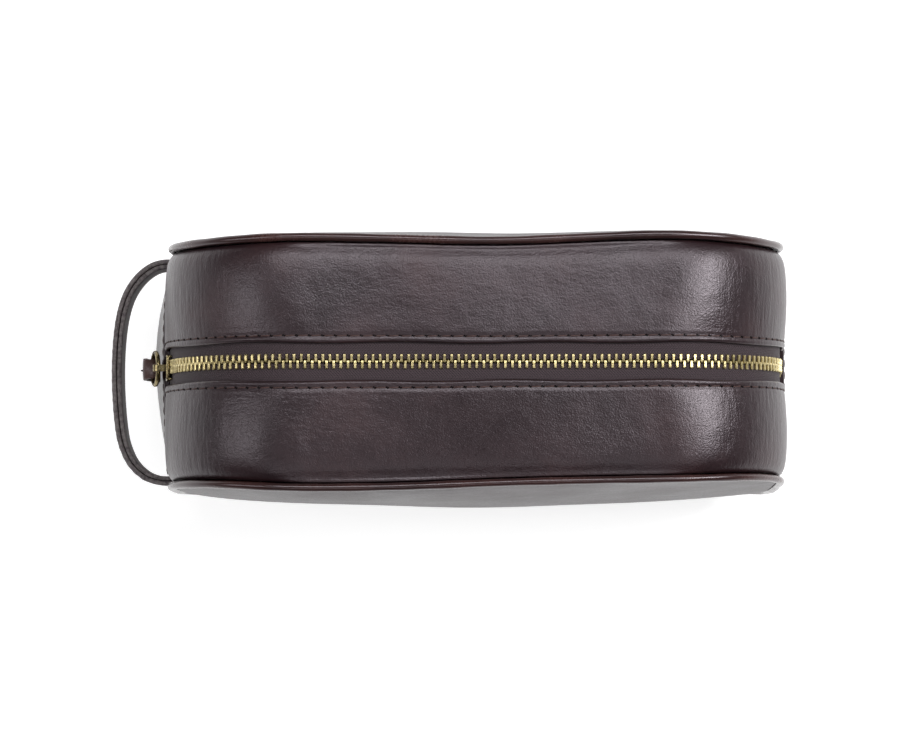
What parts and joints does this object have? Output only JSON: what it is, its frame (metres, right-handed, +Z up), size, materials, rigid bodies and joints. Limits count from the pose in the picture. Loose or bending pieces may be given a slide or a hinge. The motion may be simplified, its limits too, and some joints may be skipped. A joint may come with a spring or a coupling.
{
  "type": "shaving kit bag",
  "caption": "Zip-top leather wash bag with piped front and back panels, a gusset carrying a metal zip over the top, a base board, a lining and a side carrying loop.",
  "frame": {"origin": "centre of the flat base, on the surface the bag stands on", "axes": "+X along the zip to the right, away from the carrying loop; +Y to the back panel; +Z up"},
  "size_m": [0.2726, 0.1108, 0.15],
  "materials": {
    "gusset_leather": "glossy grained dark brown leather",
    "panel_leather": "glossy grained dark brown leather",
    "piping_leather": "burnished reddish brown leather over cord",
    "cord": "twisted cotton piping cord",
    "tape": "dark brown twill zip tape",
    "teeth": "antique brass zip teeth and stops",
    "board": "stiff grey-brown base board",
    "lining": "tan woven cotton lining",
    "binding": "dark brown leather binding",
    "strap_outer": "smooth dark brown strap leather",
    "slider": "antique brass slider and ring",
    "pull": "dark brown leather pull tab",
    "strap_inner": "dark brown strap backing with a matt face"
  },
  "bodies": {
    "bag": {"base_gusset": "gusset_leather", "front_strip_ends": "gusset_leather", "back_strip_ends": "gusset_leather", "front_panel_lower": "panel_leather", "back_panel_lower": "panel_leather", "front_piping_lower": "piping_leather", "back_piping_lower": "piping_leather", "front_cord_lower": "cord", "back_cord_lower": "cord", "front_tape_ends": "tape", "back_tape_ends": "tape", "front_teeth_ends": "teeth", "back_teeth_ends": "teeth", "top_stops": "teeth", "bottom_stop": "teeth", "base_board": "board", "gusset_lining": "lining", "front_lining_lower": "lining", "back_lining_lower": "lining", "slip_pocket": "lining", "pocket_binding": "binding", "handle_end_front": "strap_outer", "handle_end_back": "strap_outer"},
    "front_top": {"front_zip_strip": "gusset_leather", "front_panel_upper": "panel_leather", "front_piping_upper": "piping_leather", "front_cord_upper": "cord", "front_tape": "tape", "front_teeth": "teeth", "front_lining_upper": "lining"},
    "back_top": {"back_zip_strip": "gusset_leather", "back_panel_upper": "panel_leather", "back_piping_upper": "piping_leather", "back_cord_upper": "cord", "back_tape": "tape", "back_teeth": "teeth", "back_lining_upper": "lining"},
    "slider": {"slider_body": "slider", "slider_crown": "slider"},
    "ring": {"pull_ring": "slider"},
    "tab": {"pull_tab": "pull"},
    "handle": {"handle_outer_strap": "strap_outer", "handle_inner_strap": "strap_inner"}
  },
  "joints": [
    {"name": "front_open", "type": "hinge", "parent": "bag", "child": "front_top", "pos_m": [0, -0.0545, 0.106], "axis": [1, 0, 0], "range_deg": [0, 40]},
    {"name": "back_open", "type": "hinge", "parent": "bag", "child": "back_top", "pos_m": [0, 0.0545, 0.106], "axis": [-1, 0, 0], "range_deg": [0, 40]},
    {"name": "slider_travel", "type": "hinge", "parent": "bag", "child": "slider", "pos_m": [-0.065, 0, 0.092], "axis": [0, 1, 0], "range_deg": [0, 86]},
    {"name": "ring_swing", "type": "hinge", "parent": "slider", "child": "ring", "pos_m": [-0.12645, 0, 0.0963], "axis": [0, 1, 0], "range_deg": [0, 110]},
    {"name": "tab_swing", "type": "hinge", "parent": "ring", "child": "tab", "pos_m": [-0.12976, 0, 0.08393], "axis": [0, 1, 0], "range_deg": [0, 75]},
    {"name": "handle_swing", "type": "hinge", "parent": "bag", "child": "handle", "pos_m": [-0.123, 0, 0.05], "axis": [0, 1, 0], "range_deg": [-30, 30]}
  ],
  "couplings": [
    {"joint": "back_open", "follows": "front_open", "ratio": 1}
  ]
}
